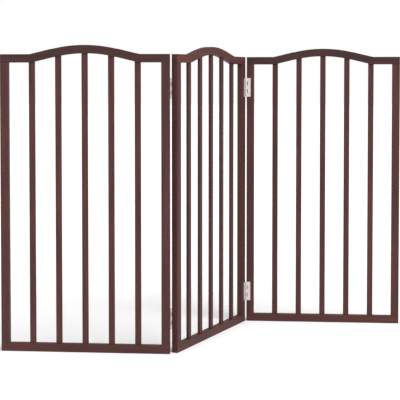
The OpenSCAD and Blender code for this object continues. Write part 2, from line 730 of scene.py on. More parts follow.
@dataclass(frozen=True)
class Pattern:
    """A cloudy pattern: features to the metre, finer octaves, bend, and scale along the grain."""

    scale: float
    octaves: float
    bend: float = 0.0
    along: float = 1.0


@dataclass(frozen=True)
class Finish:
    """A material made of nodes."""

    name: str

    def make(self) -> bpy.types.Material:
        """Builds the material.

        Returns:
            The material.
        """
        material = bpy.data.materials.new(self.name)
        material.use_nodes = True
        material.node_tree.nodes.clear()
        kit = TreeKit(material.node_tree)
        shader = self.shader(kit)
        kit.node("ShaderNodeOutputMaterial", None, {"Surface": shader.outputs[0]})
        return material

    def shader(self, kit: TreeKit) -> bpy.types.Node:
        """Builds the surface shader.

        Args:
            kit: The material's tree.

        Returns:
            The shader node.
        """
        raise NotImplementedError

    @staticmethod
    def stretched(kit: TreeKit, where: object, stretch: tuple[float, float, float]) -> object:
        """Scales a place along each way, to draw a pattern out.

        Args:
            kit: The material's tree.
            where: The place.
            stretch: Scale along X, Y and Z.

        Returns:
            The scaled place.
        """
        return kit.node(
            "ShaderNodeVectorMath", {"operation": "MULTIPLY"}, {0: where, 1: stretch}
        ).outputs[0]

    @classmethod
    def noise(cls, kit: TreeKit, where: object, pattern: Pattern) -> Wire:
        """Cloudy pattern from 0 to 1.

        Args:
            kit: The material's tree.
            where: Where each point reads the pattern, with the grain along Z.
            pattern: The pattern.

        Returns:
            The pattern's value.
        """
        if pattern.along != 1.0:
            where = cls.stretched(kit, where, (1, 1, pattern.along))
        made = kit.node(
            "ShaderNodeTexNoise",
            {"noise_dimensions": "3D"},
            {
                "Vector": where,
                "Scale": pattern.scale,
                "Detail": pattern.octaves,
                "Distortion": pattern.bend,
            },
        )
        return Wire(kit, made.outputs[0])

    @staticmethod
    def blend(kit: TreeKit, share: object, first: object, second: object, way: str = "MIX") -> object:
        """Mixes two colours by a share.

        Args:
            kit: The material's tree.
            share: How much of the second colour, from 0 to 1.
            first: One colour.
            second: The other.
            way: The node's way of mixing.

        Returns:
            The mixed colour.
        """
        made = kit.node(
            "ShaderNodeMix",
            {"data_type": "RGBA", "blend_type": way},
            {0: share, 6: first, 7: second},
        )
        return made.outputs[2]

    @staticmethod
    def bump(kit: TreeKit, height: Wire, depth: float, strength: float = 1.0) -> object:
        """Normal of a surface that a height pattern ripples, depth metres deep.

        Args:
            kit: The material's tree.
            height: The pattern.
            depth: Its depth in metres.
            strength: How much of it counts.

        Returns:
            The normal.
        """
        made = kit.node(
            "ShaderNodeBump", None, {"Strength": strength, "Distance": depth, "Height": height}
        )
        return made.outputs[0]


@dataclass(frozen=True)
class StainedTimber(Finish):
    """Straight-grained softwood under a dark stain and a satin lacquer."""

    dark: tuple[float, float, float, float] = (0.0340, 0.0081, 0.0060, 1.0)
    light: tuple[float, float, float, float] = (0.0700, 0.0187, 0.0150, 1.0)
    pore: tuple[float, float, float, float] = (0.0146, 0.0036, 0.0028, 1.0)
    roughness: float = 0.60
    specular: float = 0.30
    coat_weight: float = 0.03
    coat_roughness: float = 0.34
    grain_depth: float = 0.10 * MM
    figure: Pattern = Pattern(95.0, octaves=4.0, bend=0.6, along=0.05)
    lines: Pattern = Pattern(620.0, octaves=2.0, bend=0.2, along=0.025)
    cloud: Pattern = Pattern(14.0, octaves=2.0, along=0.35)
    pores: Pattern = Pattern(1900.0, octaves=1.0, along=0.03)
    pore_band: tuple[float, float] = (0.62, 0.74)
    pore_cover: float = 0.55
    figure_share: float = 0.55
    line_share: float = 0.25
    cloud_share: float = 0.2
    stain_band: tuple[float, float] = (0.30, 0.70)
    line_ridge: float = 0.5
    figure_ridge: float = 0.3
    pore_pit: float = 0.6
    cloud_dulling: float = 0.22
    pore_dulling: float = 0.10

    def shader(self, kit: TreeKit) -> bpy.types.Node:
        """Builds long streaks, fine lines and pores along the grain.

        Args:
            kit: The material's tree.

        Returns:
            The shader node.
        """
        grain = kit.node("ShaderNodeAttribute", {"attribute_name": GRAIN}).outputs["Vector"]
        figure = self.noise(kit, grain, self.figure)
        lines = self.noise(kit, grain, self.lines)
        cloud = self.noise(kit, grain, self.cloud)
        pores = self.noise(kit, grain, self.pores).ramp(*self.pore_band)
        share = figure * self.figure_share + lines * self.line_share + cloud * self.cloud_share
        stain = self.blend(kit, share.ramp(*self.stain_band), self.dark, self.light)
        # The stain is scaled by each bar's stored factor, which holds painted light and shade as well as
        # the bar's own tone.
        toned_and_lit = kit.node(
            "ShaderNodeVectorMath",
            {"operation": "SCALE"},
            {0: stain, "Scale": kit.node("ShaderNodeAttribute", {"attribute_name": TONE_AND_LIGHT}).outputs["Fac"]},
        )
        colour = self.blend(kit, pores * self.pore_cover, toned_and_lit.outputs[0], self.pore)
        height = lines * self.line_ridge + figure * self.figure_ridge - pores * self.pore_pit
        dulling = (cloud - 0.5) * self.cloud_dulling
        return kit.node(
            "ShaderNodeBsdfPrincipled",
            None,
            {
                "Base Color": colour,
                "Roughness": self.roughness + dulling + pores * self.pore_dulling,
                "Specular IOR Level": self.specular,
                "Coat Weight": self.coat_weight,
                "Coat Roughness": self.coat_roughness,
                "Normal": self.bump(kit, height, self.grain_depth),
            },
        )


@dataclass(frozen=True)
class BareTimber(Finish):
    """Turned hardwood as it comes off the dowel plate."""

    dark: tuple[float, float, float, float] = (0.46, 0.30, 0.15, 1.0)
    light: tuple[float, float, float, float] = (0.66, 0.48, 0.28, 1.0)
    roughness: float = 0.62
    grain_depth: float = 0.08 * MM
    lines: Pattern = Pattern(1100.0, octaves=3.0, bend=0.3, along=0.05)
    cloud: Pattern = Pattern(160.0, octaves=2.0, along=0.3)
    line_share: float = 0.6
    cloud_share: float = 0.4
    grain_band: tuple[float, float] = (0.3, 0.7)
    line_dulling: float = 0.2

    def shader(self, kit: TreeKit) -> bpy.types.Node:
        """Builds fine upright grain.

        Args:
            kit: The material's tree.

        Returns:
            The shader node.
        """
        place = kit.node("ShaderNodeTexCoord").outputs["Object"]
        lines = self.noise(kit, place, self.lines)
        cloud = self.noise(kit, place, self.cloud)
        share = (lines * self.line_share + cloud * self.cloud_share).ramp(*self.grain_band)
        return kit.node(
            "ShaderNodeBsdfPrincipled",
            None,
            {
                "Base Color": self.blend(kit, share, self.dark, self.light),
                "Roughness": self.roughness + (lines - 0.5) * self.line_dulling,
                "Normal": self.bump(kit, lines, self.grain_depth),
            },
        )


@dataclass(frozen=True)
class PlatedMetal(Finish):
    """Pressed steel under a satin plate, brushed upright."""

    bright: tuple[float, float, float, float] = (0.68, 0.632, 0.628, 1.0)
    dull: tuple[float, float, float, float] = (0.56, 0.515, 0.51, 1.0)
    roughness: float = 0.46
    brush_depth: float = 0.012 * MM
    brush: Pattern = Pattern(4200.0, octaves=2.0, along=0.03)
    smear: Pattern = Pattern(130.0, octaves=3.0, bend=0.5)
    wear_band: tuple[float, float] = (0.45, 0.85)
    wear_cover: float = 0.7
    brush_dulling: float = 0.16
    wear_dulling: float = 0.10

    def shader(self, kit: TreeKit) -> bpy.types.Node:
        """Builds brush lines and handling marks.

        Args:
            kit: The material's tree.

        Returns:
            The shader node.
        """
        place = kit.node("ShaderNodeTexCoord").outputs["Object"]
        brush = self.noise(kit, place, self.brush)
        worn = self.noise(kit, place, self.smear).ramp(*self.wear_band)
        dulling = (brush - 0.5) * self.brush_dulling
        return kit.node(
            "ShaderNodeBsdfPrincipled",
            None,
            {
                "Base Color": self.blend(kit, worn * self.wear_cover, self.bright, self.dull),
                "Metallic": 1.0,
                "Roughness": self.roughness + dulling + worn * self.wear_dulling,
                "Normal": self.bump(kit, brush, self.brush_depth),
            },
        )


@dataclass(frozen=True)
class PaleFloor(Finish):
    """Matt studio paper."""

    paper: tuple[float, float, float, float] = (0.87, 0.87, 0.87, 1.0)
    shade: tuple[float, float, float, float] = (0.855, 0.855, 0.855, 1.0)
    roughness: float = 0.9
    specular: float = 0.1
    cloud: Pattern = Pattern(3.0, octaves=2.0)

    def shader(self, kit: TreeKit) -> bpy.types.Node:
        """Builds a faint unevenness.

        Args:
            kit: The material's tree.

        Returns:
            The shader node.
        """
        place = kit.node("ShaderNodeTexCoord").outputs["Object"]
        cloud = self.noise(kit, place, self.cloud)
        return kit.node(
            "ShaderNodeBsdfPrincipled",
            None,
            {
                "Base Color": self.blend(kit, cloud, self.paper, self.shade),
                "Roughness": self.roughness,
                "Specular IOR Level": self.specular,
            },
        )


@dataclass(frozen=True)
class Finishes:
    """The gate's materials, each made once."""

    frame_timber: bpy.types.Material
    slat_timber: bpy.types.Material
    dowel_timber: bpy.types.Material
    hinge_metal: bpy.types.Material
    pin_metal: bpy.types.Material
    screw_metal: bpy.types.Material

    @classmethod
    def make(cls) -> "Finishes":
        """Builds every material.

        Returns:
            The materials.
        """
        return cls(
            frame_timber=StainedTimber("espresso_frame").make(),
            slat_timber=StainedTimber("espresso_slats").make(),
            dowel_timber=BareTimber("bare_dowel").make(),
            hinge_metal=PlatedMetal("satin_hinge").make(),
            pin_metal=PlatedMetal("satin_pin", roughness=0.40).make(),
            screw_metal=PlatedMetal("satin_screw", roughness=0.38).make(),
        )


# ---------------------------------------------------------------- shape trees


ARCH_INPUTS = {
    "Half width": float,
    "Shoulder": float,
    "Rise": float,
    "Crown radius": float,
    "Slope": float,
    "Kink radius": float,
}
SLAT_INPUTS = {
    "Rail height": float,
    "Slat pitch": float,
    "Slat count": int,
    "Slat width": float,
    "Slat thickness": float,
    "Mortise depth": float,
}


def arch_height(tree: ShapeTree, across: Wire, depth: object) -> Wire:
    """Height of a line that runs a depth below the arch's top edge.

    The line is level on the shoulders, turns up in a fillet, climbs a straight slope and
    rounds the crown in one arc.

    Args:
        tree: The tree at work, which has the arch's inputs.
        across: Distance from the panel's middle.
        depth: How far below the top edge the line runs.

    Returns:
        The line's height over the foot.
    """
    shoulder, slope = tree.size("Shoulder"), tree.size("Slope")
    crown_radius = tree.size("Crown radius")
    crown_z = shoulder + tree.size("Rise") - crown_radius
    slope_top_x = crown_radius * slope.sin()
    slope_top_z = crown_z + crown_radius * slope.cos()
    half_tan = (slope * 0.5).tan()
    level = shoulder - depth
    kink_x = slope_top_x + (slope_top_z - shoulder) / slope.tan() + half_tan * depth
    fillet = tree.size("Kink radius") + depth
    fillet_x = kink_x + fillet * half_tan
    arc = crown_radius - depth
    away = abs(across)

    on_fillet = level + fillet - (fillet * fillet - (fillet_x - away) * (fillet_x - away)).sqrt()
    on_slope = level + (kink_x - away) * slope.tan()
    on_crown = crown_z + (arc * arc - away * away).sqrt()
    height = level + (away < fillet_x) * (on_fillet - level)
    height = height + (away < fillet_x - fillet * slope.sin()) * (on_slope - on_fillet)
    return height + (away < arc * slope.sin()) * (on_crown - on_slope)


def upright_bars(tree: ShapeTree, section: bpy.types.NodeSocket) -> bpy.types.NodeSocket:
    """The row of slats, each from its mortise in the foot rail to the one under the arch.

    Args:
        tree: The tree at work, which has the arch's and the slats' inputs.
        section: Section of a slat.

    Returns:
        The slats as closed bars.
    """
    pitch, count = tree.size("Slat pitch"), tree.size("Slat count")
    rail, mortise = tree.size("Rail height"), tree.size("Mortise depth")
    row = tree.node(
        "GeometryNodeMeshLine",
        {"mode": "OFFSET"},
        {
            "Count": count,
            "Start Location": tree.vector((count - 1.0) * pitch * -0.5, 0.0, 0.0),
            "Offset": tree.vector(pitch, 0.0, 0.0),
        },
    )
    rod = tree.line((0, 0, 0), (0, 0, 1))
    rods = tree.node(
        "GeometryNodeInstanceOnPoints", None, {"Points": row.outputs[0], "Instance": rod}
    )
    x, y, share = tree.place()
    low = rail - mortise
    high = arch_height(tree, (x / pitch).rounded() * pitch, rail) + mortise
    path = tree.moved(
        tree.realized(rods.outputs[0]), tree.vector(x, y, low + share * (high - low))
    )
    return tree.sweep(path, section)


def arched_rail_tree() -> ShapeTree:
    """Top rail: one section swept along the arch's middle line.

    Returns:
        The tree, closed.
    """
    tree = ShapeTree(
        "arched_rail",
        ARCH_INPUTS | {"Rail height": float, "Thickness": float, "Edge radius": float, "Steps": int},
    )
    half, rail = tree.size("Half width"), tree.size("Rail height")
    straight = tree.line(tree.vector(-half, 0.0, 0.0), tree.vector(half, 0.0, 0.0))
    stepped = tree.node(
        "GeometryNodeResampleCurve",
        {"mode": "COUNT"},
        {"Curve": straight, "Count": tree.size("Steps")},
    )
    x, y, _ = tree.place()
    path = tree.moved(stepped.outputs[0], tree.vector(x, y, arch_height(tree, x, rail * 0.5)))
    section = tree.section(tree.size("Thickness"), rail, tree.size("Edge radius"))
    return tree.close(tree.sweep(path, section))


def straight_bar_tree() -> ShapeTree:
    """Bottom rail or stile: one section swept along a straight line.

    Returns:
        The tree, closed.
    """
    tree = ShapeTree(
        "straight_bar",
        {"Start": Vector, "End": Vector, "Width": float, "Height": float, "Edge radius": float},
    )
    section = tree.section(tree.size("Width"), tree.size("Height"), tree.size("Edge radius"))
    return tree.close(tree.sweep(tree.line(tree.given("Start"), tree.given("End")), section))


def slat_row_tree() -> ShapeTree:
    """All slats of a panel.

    Returns:
        The tree, closed.
    """
    tree = ShapeTree("slat_row", ARCH_INPUTS | SLAT_INPUTS | {"Edge radius": float})
    section = tree.section(
        tree.size("Slat width"), tree.size("Slat thickness"), tree.size("Edge radius")
    )
    return tree.close(upright_bars(tree, section))


def joinery_tree() -> ShapeTree:
    """Cuts mortises, dowel holes and pilot holes out of a bar.

    Returns:
        The tree, closed.
    """
    tree = ShapeTree(
        "joinery",
        ARCH_INPUTS
        | SLAT_INPUTS
        | {
            "Glue gap": float,
            "Stile x": float,
            "Dowel radius": float,
            "Dowel length": float,
            "Dowel foot": float,
            "Pilot x": float,
            "Pilot y": float,
            "Pilot depth": float,
            "Pilot radius": float,
            "Pilot spread": float,
            "Upper z": float,
            "Lower z": float,
        },
    )
    gap = tree.size("Glue gap") * 2.0
    mortises = upright_bars(
        tree, tree.section(tree.size("Slat width") + gap, tree.size("Slat thickness") + gap)
    )

    def bore(radius: Wire, depth: Wire, places: list[object], turn: object) -> list[object]:
        """Round cutters of one size.

        Args:
            radius: Their radius.
            depth: Their length.
            places: Their middles.
            turn: How they are turned from upright.

        Returns:
            The cutters.
        """
        cutter = tree.node(
            "GeometryNodeMeshCylinder",
            None,
            {"Vertices": BORE_SIDES, "Radius": radius, "Depth": depth},
        )
        return [
            tree.node(
                "GeometryNodeTransform",
                None,
                {"Geometry": cutter.outputs[0], "Translation": place, "Rotation": turn},
            ).outputs[0]
            for place in places
        ]

    stile_x = tree.size("Stile x")
    length = tree.size("Dowel length")
    low_z = tree.size("Dowel foot") + length * 0.5
    high_z = tree.size("Shoulder") - low_z
    dowels = bore(
        tree.size("Dowel radius") + tree.size("Glue gap"),
        length,
        [tree.vector(side, 0.0, z) for side in (stile_x, -stile_x) for z in (low_z, high_z)],
        (0.0, 0.0, 0.0),
    )
    half_spread = tree.size("Pilot spread") * 0.5
    heights = [
        tree.size(label) + step
        for label in ("Upper z", "Lower z")
        for step in (half_spread, -half_spread)
    ]
    pilots = bore(
        tree.size("Pilot radius"),
        tree.size("Pilot depth"),
        [tree.vector(tree.size("Pilot x"), tree.size("Pilot y"), z) for z in heights],
        (QUARTER_TURN, 0.0, 0.0),
    )
    tools = tree.realized(tree.joined([mortises, *dowels, *pilots]))
    return tree.close(tree.cut(tree.given("Blank"), tools))


def grain_tree() -> ShapeTree:
    """Lays the grain along a bar, with each bar cut from another place in the board, and stores the bar's
    brightness factor, which holds painted light and shade.

    Returns:
        The tree, closed.
    """
    tree = ShapeTree("grain", {"Upright": float, "Seed": float, "Slat pitch": float, "Tone": float})
    x, y, z = tree.place()
    upright = tree.size("Upright")
    bar = (x / tree.size("Slat pitch")).rounded() * upright
    board = tree.size("Seed") + bar * BAR_STEP
    along = x + upright * (z - x)
    across = z + upright * (x - z)
    where = tree.vector(across + board, y + board * BOARD_DEPTH, along + board * BOARD_LENGTH)
    marked = tree.node(
        "GeometryNodeStoreNamedAttribute",
        {"data_type": "FLOAT_VECTOR", "domain": "POINT"},
        {"Geometry": shaded(tree, tree.given("Blank")), "Name": GRAIN, "Value": where},
    )
    wander = (bar * TONE_STEP + tree.size("Seed")).sin()
    # Stores the panel's factor, which holds painted light and shade, times a small random wander in tone
    # from bar to bar.
    stained = tree.node(
        "GeometryNodeStoreNamedAttribute",
        {"data_type": "FLOAT", "domain": "POINT"},
        {
            "Geometry": marked.outputs[0],
            "Name": TONE_AND_LIGHT,
            "Value": tree.size("Tone") * (1.0 + wander * TONE_SPREAD),
        },
    )
    return tree.close(stained.outputs[0])


def countersink_tree() -> ShapeTree:
    """Drills and countersinks the two screw holes of a hinge leaf.

    Returns:
        The tree, closed.
    """
    tree = ShapeTree(
        "countersinks",
        {
            "Leaf face": float,
            "Leaf thickness": float,
            "Screw x": float,
            "Screw spread": float,
            "Head radius": float,
        },
    )
    face, thick, spread = (tree.size(n) for n in ("Leaf face", "Leaf thickness", "Screw spread"))
    head = tree.size("Head radius")
    drill = tree.node(
        "GeometryNodeMeshCone",
        None,
        {
            "Vertices": SINK_SIDES,
            "Radius Top": head + SINK_PROUD,
            "Radius Bottom": head - thick - SINK_PROUD,
            "Depth": thick + SINK_PROUD * 2.0,
        },
    )
    pair = tree.node(
        "GeometryNodeMeshLine",
        {"mode": "OFFSET"},
        {
            "Count": 2,
            "Start Location": tree.vector(
                tree.size("Screw x"), face - thick - SINK_PROUD, spread * -0.5
            ),
            "Offset": tree.vector(0.0, 0.0, spread),
        },
    )
    drills = tree.node(
        "GeometryNodeInstanceOnPoints",
        None,
        {"Points": pair.outputs[0], "Instance": drill.outputs[0], "Rotation": (-QUARTER_TURN, 0.0, 0.0)},
    )
    return tree.close(tree.cut(tree.given("Blank"), tree.realized(drills.outputs[0]), "FLOAT"))


def fastener_tree() -> ShapeTree:
    """Sets a fastener on every point of the blank, turned as the point says.

    Returns:
        The tree, closed.
    """
    tree = ShapeTree("fasteners", {"Fastener": bpy.types.Object})
    turn = tree.node(
        "GeometryNodeInputNamedAttribute", {"data_type": "FLOAT_VECTOR"}, {"Name": TURN}
    )
    one = tree.node("GeometryNodeObjectInfo", None, {"Object": tree.given("Fastener")})
    placed = tree.node(
        "GeometryNodeInstanceOnPoints",
        None,
        {
            "Points": tree.given("Blank"),
            "Instance": one.outputs["Geometry"],
            "Rotation": turn.outputs["Attribute"],
        },
    )
    return tree.close(shaded(tree, tree.realized(placed.outputs[0])))


def soften_tree() -> ShapeTree:
    """Sets smooth rolls and flat plates on a finished metal solid."""
    tree = ShapeTree("soften", {})
    return tree.close(shaded(tree, tree.given("Blank"), PLATE_SMOOTH_BELOW))


# How far apart in the board neighbouring bars are cut, and how that runs in depth and length.
BAR_STEP = 0.37
BOARD_DEPTH = 0.6
BOARD_LENGTH = 1.7
# How the tone wanders from bar to bar.
TONE_STEP = 2.4
TONE_SPREAD = 0.05
# Facets of the round cutters, and how far a countersink's cutter stands out of the leaf.
BORE_SIDES = 32
SINK_SIDES = 40
SINK_PROUD = 0.2 * MM


@dataclass(frozen=True)
class Trees:
    """The geometry trees, each made once."""

    arched_rail: ShapeTree
    straight_bar: ShapeTree
    slat_row: ShapeTree
    joinery: ShapeTree
    grain: ShapeTree
    countersinks: ShapeTree
    fasteners: ShapeTree
    soften: ShapeTree

    @classmethod
    def make(cls) -> "Trees":
        """Builds every tree.

        Returns:
            The trees.
        """
        return cls(
            arched_rail=arched_rail_tree(),
            straight_bar=straight_bar_tree(),
            slat_row=slat_row_tree(),
            joinery=joinery_tree(),
            grain=grain_tree(),
            countersinks=countersink_tree(),
            fasteners=fastener_tree(),
            soften=soften_tree(),
        )


# ---------------------------------------------------------------- turned pieces


@dataclass(frozen=True)
class Lathe:
    """Turns closed round pieces about the Z axis."""

    segments: int = 32

    def turn(self, name: str, outline: list[tuple[float, float]]) -> bpy.types.Mesh:
        """Turns an outline.

        Args:
            name: The mesh's name.
            outline: Radius and height of each ring, from the top down, which is closed at both ends.

        Returns:
            The closed mesh.
        """
        shape = bmesh.new()
        rings = [
            [
                shape.verts.new((r * math.cos(a), r * math.sin(a), z))
                for a in (2 * math.pi * k / self.segments for k in range(self.segments))
            ]
            for r, z in outline
        ]
        for upper, lower in zip(rings, rings[1:]):
            for k in range(self.segments):
                after = (k + 1) % self.segments
                shape.faces.new((upper[k], lower[k], lower[after], upper[after]))
        shape.faces.new(rings[0])
        shape.faces.new(list(reversed(rings[-1])))
        bmesh.ops.recalc_face_normals(shape, faces=shape.faces)
        mesh = bpy.data.meshes.new(name)
        shape.to_mesh(mesh)
        shape.free()
        return mesh


@dataclass(frozen=True)
class LeafBlank:
    """Stamped hinge leaf before drilling: a plate, with tongues rolled round the pin."""

    hinge: HingeSizes
    first: int
    own: int
    roll_steps: int = 37
    roll_turn: float = math.radians(298)
    corner_steps: int = 5
    flat_within: float = math.radians(0.2)
    slack: float = 0.1 * MM

    def profile(self) -> list[tuple[tuple[float, float], tuple[float, float]]]:
        """Section through plate and roll.

        Returns:
            Pairs of a point on the pin's side and one on the wood's, from the plate's edge on.
        """
        hinge = self.hinge
        inner, outer = hinge.pin_radius + hinge.pin_gap, hinge.barrel_radius
        pairs = [
            ((x, hinge.leaf_face), (x, -hinge.pin_stand)) for x in (hinge.leaf_width, hinge.notch_x)
        ]
        for k in range(self.roll_steps + 1):
            angle = self.roll_turn * k / self.roll_steps
            across, up = -math.sin(angle), -math.cos(angle)
            pairs.append(((across * inner, up * inner), (across * outer, up * outer)))
        return pairs

    def mesh(self) -> bpy.types.Mesh:
        """Folds the leaf.

        Returns:
            The closed blank, pin on Z and leaf to +X.
        """
        hinge, pairs = self.hinge, self.profile()
        half = hinge.height / 2
        pitch = hinge.knuckle_length + hinge.knuckle_gap
        lows = [(self.first + 2 * k) * pitch - half for k in range(self.own)]
        spans = [(low, low + hinge.knuckle_length) for low in lows]
        levels = sorted({round(z, 8) for z in (-half, half, *(z for span in spans for z in span))})

        def solid(column: int, row: int) -> bool:
            """Whether the sheet has metal in a cell.

            Args:
                column: The cell's place along the section.
                row: Its place up the leaf.

            Returns:
                True inside the sheet.
            """
            if not (0 <= column < len(pairs) - 1 and 0 <= row < len(levels) - 1):
                return False
            middle = (levels[row] + levels[row + 1]) / 2
            return column == 0 or any(low < middle < high for low, high in spans)

        shape = bmesh.new()
        corners: dict[tuple[int, int, int], bmesh.types.BMVert] = {}

        def corner(column: int, row: int, skin: int) -> bmesh.types.BMVert:
            """The vertex at a cell's corner, on the pin's skin or the wood's.

            Args:
                column: The corner's place along the section.
                row: Its place up the leaf.
                skin: 0 for the pin's side, 1 for the wood's.

            Returns:
                The vertex, made when first asked for.
            """
            key = (column, row, skin)
            if key not in corners:
                corners[key] = shape.verts.new((*pairs[column][skin], levels[row]))
            return corners[key]

        for c in range(len(pairs) - 1):
            for r in range(len(levels) - 1):
                if not solid(c, r):
                    continue
                ring = [(c, r), (c + 1, r), (c + 1, r + 1), (c, r + 1)]
                shape.faces.new([corner(*spot, 0) for spot in ring])
                shape.faces.new([corner(*spot, 1) for spot in reversed(ring)])
                beyond = [(c, r - 1), (c + 1, r), (c, r + 1), (c - 1, r)]
                for start, end, cell in zip(ring, ring[1:] + ring[:1], beyond):
                    if not solid(*cell):
                        wall = [(*end, 0), (*start, 0), (*start, 1), (*end, 1)]
                        shape.faces.new([corner(*key) for key in wall])
        bmesh.ops.recalc_face_normals(shape, faces=shape.faces)
        bmesh.ops.dissolve_limit(
            shape, angle_limit=self.flat_within, verts=shape.verts, edges=shape.edges
        )
        inside, below = hinge.notch_x - self.slack, half - self.slack
        ends = [
            edge
            for edge in shape.edges
            if all(v.co.x > inside and abs(v.co.z) > below for v in edge.verts)
            and abs(edge.verts[0].co.x - edge.verts[1].co.x) < self.slack
        ]
        bmesh.ops.bevel(
            shape,
            geom=ends,
            offset=hinge.corner_radius,
            offset_type="OFFSET",
            segments=self.corner_steps,
            profile=0.5,
            affect="EDGES",
        )
        mesh = bpy.data.meshes.new("leaf_blank")
        shape.to_mesh(mesh)
        shape.free()
        return mesh


@dataclass(frozen=True)
class WoodScrew:
    """Countersunk wood screw with a cross recess, head up and its top at Z = 0."""

    hinge: HingeSizes
    tip_length: float = 3.5 * MM
    tip_radius: float = 0.25 * MM
    thread_pitch: float = 1.1 * MM
    thread_depth: float = 0.32 * MM
    thread_steps: int = 8
    smooth_length: float = 2.2 * MM
    recess_depth: float = 0.95 * MM
    recess_reach: float = 1.4 * MM
    recess_half: float = 0.34 * MM
    recess_clear: float = 0.2 * MM
    reach_taper: float = 0.45
    half_taper: float = 0.6
    rim: float = 0.04 * MM
    tip_steps: int = 14
    valley_slope: float = 2.6
    sides: int = 24

    def mesh(self) -> bpy.types.Mesh:
        """Turns the screw, winds its thread and sinks its recess.

        Returns:
            The finished screw.
        """
        hinge = self.hinge
        outline = [
            (hinge.head_radius - 2 * self.rim, 0.0),
            (hinge.head_radius - self.rim, -self.rim),
            (hinge.shank_radius, hinge.shank_radius - hinge.head_radius),
            (hinge.shank_radius, -self.smooth_length),
        ]
        step = self.thread_pitch / self.thread_steps
        depth = -self.smooth_length - step
        while depth > self.tip_length - hinge.screw_length:
            outline.append((hinge.shank_radius, depth))
            depth -= step
        for k in range(self.tip_steps + 1):
            share = k / self.tip_steps
            outline.append(
                (
                    hinge.shank_radius + share * (self.tip_radius - hinge.shank_radius),
                    (self.tip_length - hinge.screw_length) - share * self.tip_length,
                )
            )
        mesh = Lathe(self.sides).turn("wood_screw", outline)
        self._wind_thread(mesh)
        return self._sink_recess(mesh)

    def _wind_thread(self, mesh: bpy.types.Mesh) -> None:
        """Cuts the thread's helix between its crests, which keep the shank's radius.

        Args:
            mesh: The turned screw, which is changed.
        """
        for vertex in mesh.vertices:
            x, y, z = vertex.co
            radius = math.hypot(x, y)
            if z > -self.smooth_length or radius <= self.tip_radius:
                continue
            phase = (z / self.thread_pitch + math.atan2(y, x) / (2 * math.pi)) % 1.0
            valley = min(1.0, self.valley_slope * min(phase, 1.0 - phase))
            share = min(1.0, (radius - self.tip_radius) / self.hinge.shank_radius)
            scale = 1 - self.thread_depth * valley * share / radius
            vertex.co = (x * scale, y * scale, z)

    def _sink_recess(self, mesh: bpy.types.Mesh) -> bpy.types.Mesh:
        """Cuts a tapered cross into the head.

        Args:
            mesh: The threaded screw.

        Returns:
            The screw with its recess.
        """
        cutter = bmesh.new()
        rings = []
        foot_reach = self.recess_reach * self.reach_taper
        foot_half = self.recess_half * self.half_taper
        for z, reach, half in (
            (self.recess_clear, self.recess_reach, self.recess_half),
            (-self.recess_depth, foot_reach, foot_half),
        ):
            corner = [(reach, -half), (reach, half), (half, half)]
            ring = []
            for quarter in range(4):
                c, s = (1, 0, -1, 0)[quarter], (0, 1, 0, -1)[quarter]
                ring += [cutter.verts.new((c * x - s * y, s * x + c * y, z)) for x, y in corner]
            rings.append(ring)
        count = len(rings[0])
        for k in range(count):
            after = (k + 1) % count
            cutter.faces.new((rings[0][k], rings[1][k], rings[1][after], rings[0][after]))
        cutter.faces.new(rings[0])
        cutter.faces.new(list(reversed(rings[1])))
        bmesh.ops.recalc_face_normals(cutter, faces=cutter.faces)
        tool_mesh = bpy.data.meshes.new("cross")
        cutter.to_mesh(tool_mesh)
        cutter.free()
        tool = bpy.data.objects.new("cross", tool_mesh)
        blank = bpy.data.objects.new("screw_blank", mesh)
        for item in (tool, blank):
            bpy.context.scene.collection.objects.link(item)
        step = blank.modifiers.new("recess", "BOOLEAN")
        step.operation = "DIFFERENCE"
        step.solver = "EXACT"
        step.object = tool
        depsgraph = bpy.context.evaluated_depsgraph_get()
        made = bpy.data.meshes.new_from_object(blank.evaluated_get(depsgraph), depsgraph=depsgraph)
        for item in (tool, blank):
            bpy.data.objects.remove(item)
        return made


# ---------------------------------------------------------------- sub-assemblies


def hand_over(piece: bpy.types.Object, body: str, slot: str, *nodes: str) -> None:
    """Gives a finished piece its body and hides the nodes that it stands for.

    Args:
        piece: The piece.
        body: The body that it rides on.
        slot: Not used.
        nodes: The nodes that it replaces.
    """
    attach(piece, body)
    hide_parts(*nodes)
    LOG.info("%s: %d faces, on %s, for %s", piece.name, len(piece.data.polygons), body, ", ".join(nodes))


@dataclass(frozen=True)
class BarToneAndPaintedLight:
    """Brightness factor of each kind of bar in a panel, where 1 is the usual tone: partly the bar's own
    stain tone and partly painted light and shade.
    """

    top_rail: float
    bottom_rail: float
    stile: float
    slat: float


# Painted light and shade: these factors copy how bright each bar looks under the studio light. The centre
# crown's 1.15 is painted light; the wings' darker top rails and the right panel's darker stiles and slats
# are partly painted shade and partly the bars' own tone.
PANEL_TONE_AND_PAINTED_LIGHT = {
    Panel.LEFT: BarToneAndPaintedLight(top_rail=0.67, bottom_rail=1.0, stile=1.0, slat=1.0),
    Panel.CENTRE: BarToneAndPaintedLight(top_rail=1.15, bottom_rail=1.0, stile=1.0, slat=1.0),
    Panel.RIGHT: BarToneAndPaintedLight(top_rail=0.60, bottom_rail=1.0, stile=0.92, slat=0.92),
}


